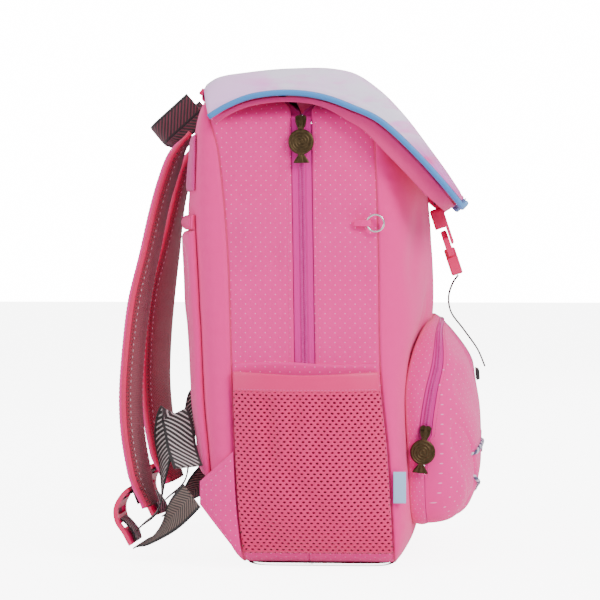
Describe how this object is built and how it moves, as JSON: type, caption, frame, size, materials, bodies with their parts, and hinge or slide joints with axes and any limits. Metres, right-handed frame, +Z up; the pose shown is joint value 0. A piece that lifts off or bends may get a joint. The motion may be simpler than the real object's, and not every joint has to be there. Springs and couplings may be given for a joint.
{
  "type": "school backpack",
  "caption": "Child's fabric school backpack with a buckled top lid, mesh side pockets, a zipped front pocket, a haul loop and two padded shoulder straps.",
  "frame": {"origin": "centre of the underside of the base panel, on the surface that the bag stands on", "axes": "+Z up; the front of the bag faces -Y and the shoulder straps are on the +Y side; -X is the wearer's left"},
  "size_m": [0.3212, 0.3201, 0.4182],
  "materials": {
    "gusset_pink": "pink polyester with small white dots",
    "satin_pink": "smooth pink polyester",
    "hot_pink": "bright pink mesh and tape",
    "lid_print": "pale lilac to pink printed fabric",
    "blue_piping": "light blue piping",
    "dark_webbing": "black and brown striped webbing",
    "grey_board": "stiff plastic board",
    "lining": "thin lining fabric",
    "pink_plastic": "moulded pink plastic",
    "antique_brass": "antique brass casting",
    "silver_wire": "bright wire"
  },
  "bodies": {
    "bag": {"back_panel": "satin_pink", "front_panel": "satin_pink", "lower_back_pad": "satin_pink", "lid_seam_tape": "satin_pink", "ring_tab": "satin_pink", "rear_gusset": "gusset_pink", "front_gusset": "gusset_pink", "pocket_gusset": "gusset_pink", "pocket_front": "gusset_pink", "wing_left": "gusset_pink", "wing_right": "gusset_pink", "base_panel": "hot_pink", "upper_back_pad": "hot_pink", "back_band": "hot_pink", "main_zip_left": "hot_pink", "main_zip_right": "hot_pink", "mouth_lip_rear": "hot_pink", "mouth_lip_front": "hot_pink", "side_pocket_left": "hot_pink", "side_pocket_right": "hot_pink", "side_pocket_band_left": "hot_pink", "side_pocket_band_right": "hot_pink", "pocket_zip": "hot_pink", "label_tab": "blue_piping", "front_webbing": "dark_webbing", "webbing_anchor": "dark_webbing", "strap_webbing_left": "dark_webbing", "strap_webbing_right": "dark_webbing", "strap_tail_left": "dark_webbing", "strap_tail_right": "dark_webbing", "back_board": "grey_board", "base_board": "grey_board", "inner_divider": "lining"},
    "lid": {"lid_panel": "lid_print", "lid_piping": "blue_piping", "lid_hem": "hot_pink", "lid_webbing": "dark_webbing", "buckle_socket": "pink_plastic"},
    "plug": {"buckle_plug": "pink_plastic"},
    "latch_left": {"latch_arm_left": "pink_plastic"},
    "latch_right": {"latch_arm_right": "pink_plastic"},
    "haul_loop": {"haul_loop": "dark_webbing"},
    "slider_left": {"main_left_slider": "antique_brass"},
    "slider_right": {"main_right_slider": "antique_brass"},
    "pull_left": {"main_left_pull": "antique_brass"},
    "pull_right": {"main_right_pull": "antique_brass"},
    "pocket_slider": {"pocket_slider": "antique_brass"},
    "pocket_pull": {"pocket_pull": "antique_brass"},
    "side_ring": {"side_ring": "silver_wire"},
    "strap_left": {"shoulder_strap_left": "satin_pink"},
    "strap_right": {"shoulder_strap_right": "satin_pink"},
    "adjuster_left": {"adjuster_left": "pink_plastic"},
    "adjuster_right": {"adjuster_right": "pink_plastic"}
  },
  "joints": [
    {"name": "lid_hinge", "type": "hinge", "parent": "bag", "child": "lid", "pos_m": [0, 0.0935, 0.401], "axis": [-1, 0, 0], "range_deg": [0, 105]},
    {"name": "buckle_release", "type": "slide", "parent": "bag", "child": "plug", "axis": [0, -0.3173, -0.9483], "range_m": [0, 0.028], "deforming": ["front_webbing"]},
    {"name": "latch_left_squeeze", "type": "hinge", "parent": "plug", "child": "latch_left", "pos_m": [-0.0144, -0.11785, 0.25729], "axis": [0, 0.9483, -0.3173], "range_deg": [0, 6], "stiffness_Nm_per_rad": 0.5},
    {"name": "latch_right_squeeze", "type": "hinge", "parent": "plug", "child": "latch_right", "pos_m": [0.0144, -0.11785, 0.25729], "axis": [0, -0.9483, 0.3173], "range_deg": [0, 6], "stiffness_Nm_per_rad": 0.5},
    {"name": "haul_loop_lift", "type": "hinge", "parent": "bag", "child": "haul_loop", "pos_m": [0, 0.1035, 0.392], "axis": [1, 0, 0], "range_deg": [0, 95]},
    {"name": "pocket_slider_travel", "type": "slide", "parent": "bag", "child": "pocket_slider", "axis": [-0.0024, -0.1283, 0.9917], "range_m": [0, 0.025]},
    {"name": "pocket_pull_swing", "type": "hinge", "parent": "pocket_slider", "child": "pocket_pull", "pos_m": [-0.1265, -0.09463, 0.11264], "axis": [0, 0.9917, 0.1283], "range_deg": [0, 90]},
    {"name": "side_ring_swing", "type": "hinge", "parent": "bag", "child": "side_ring", "pos_m": [-0.1408, -0.04675, 0.286], "axis": [0, 0, -1], "range_deg": [0, 100]},
    {"name": "main_slider_left_travel", "type": "slide", "parent": "bag", "child": "slider_left", "axis": [-0.0635, -0.0185, -0.9978], "range_m": [0, 0.165]},
    {"name": "main_pull_left_swing", "type": "hinge", "parent": "slider_left", "child": "pull_left", "pos_m": [-0.13905, 0.00791, 0.3692], "axis": [0, 0.9998, -0.0185], "range_deg": [0, 90]},
    {"name": "strap_left_swing", "type": "hinge", "parent": "bag", "child": "strap_left", "pos_m": [0, 0.1075, 0.363], "axis": [1, 0, 0], "range_deg": [-4, 15], "stiffness_Nm_per_rad": 4, "deforming": ["strap_webbing_left", "strap_tail_left"]},
    {"name": "adjuster_left_tilt", "type": "hinge", "parent": "strap_left", "child": "adjuster_left", "pos_m": [-0.08821, 0.15451, 0.061], "axis": [1, 0, 0], "range_deg": [0, 20]},
    {"name": "main_slider_right_travel", "type": "slide", "parent": "bag", "child": "slider_right", "axis": [0.0635, -0.0185, -0.9978], "range_m": [0, 0.165]},
    {"name": "main_pull_right_swing", "type": "hinge", "parent": "slider_right", "child": "pull_right", "pos_m": [0.13905, 0.00791, 0.3692], "axis": [0, -0.9998, 0.0185], "range_deg": [0, 90]},
    {"name": "strap_right_swing", "type": "hinge", "parent": "bag", "child": "strap_right", "pos_m": [0, 0.1075, 0.363], "axis": [1, 0, 0], "range_deg": [-4, 15], "stiffness_Nm_per_rad": 4, "deforming": ["strap_webbing_right", "strap_tail_right"]},
    {"name": "adjuster_right_tilt", "type": "hinge", "parent": "strap_right", "child": "adjuster_right", "pos_m": [0.08727, 0.15459, 0.061], "axis": [1, 0, 0], "range_deg": [0, 20]}
  ]
}
